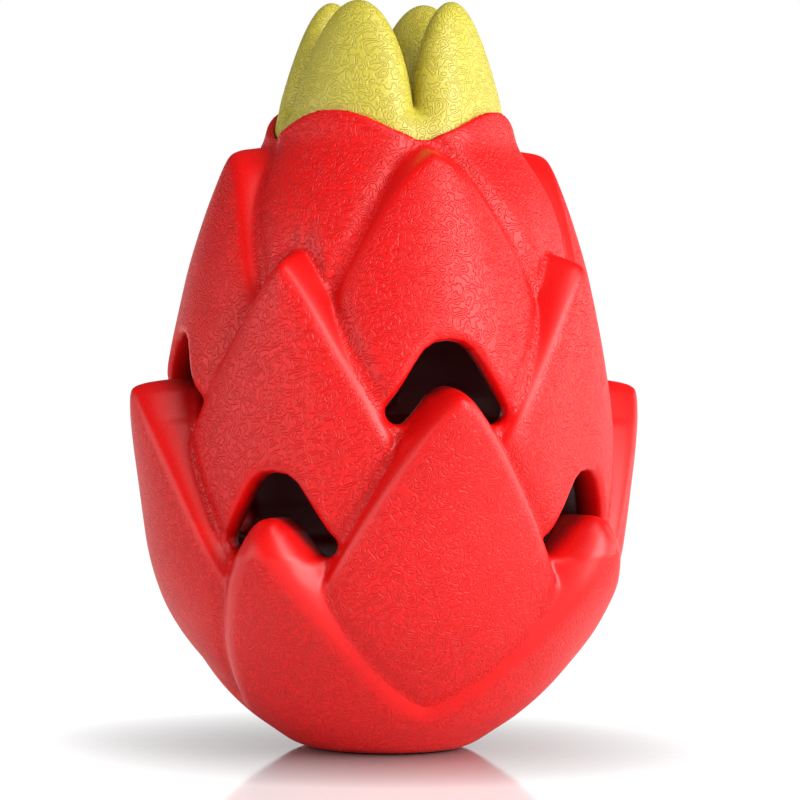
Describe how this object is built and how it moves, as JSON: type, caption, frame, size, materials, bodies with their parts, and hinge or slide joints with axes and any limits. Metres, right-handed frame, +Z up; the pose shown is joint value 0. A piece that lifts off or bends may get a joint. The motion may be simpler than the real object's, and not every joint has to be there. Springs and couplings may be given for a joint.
{
  "type": "dog chew toy",
  "caption": "Hollow rubber treat toy shaped like a scaly fruit, with slotted petals round the shell and a pull-out lobed crown.",
  "frame": {"origin": "centre of the flat base, on the surface that the toy stands on", "axes": "+Z up through the crown; the middle and top petals stand on the X and Y axes, the low and upper petals, the rim's peaks and the crown's lobes on the diagonals"},
  "size_m": [0.088, 0.088, 0.124],
  "materials": {
    "red_rubber": "satin moulded grain",
    "yellow_green_rubber": "matt moulded grain"
  },
  "bodies": {
    "shell": {"body_shell": "red_rubber"},
    "crown": {"crown_plug": "yellow_green_rubber"}
  },
  "joints": [
    {"name": "crown_pull", "type": "slide", "parent": "shell", "child": "crown", "axis": [0, 0, 1], "range_m": [0, 0.018]}
  ]
}
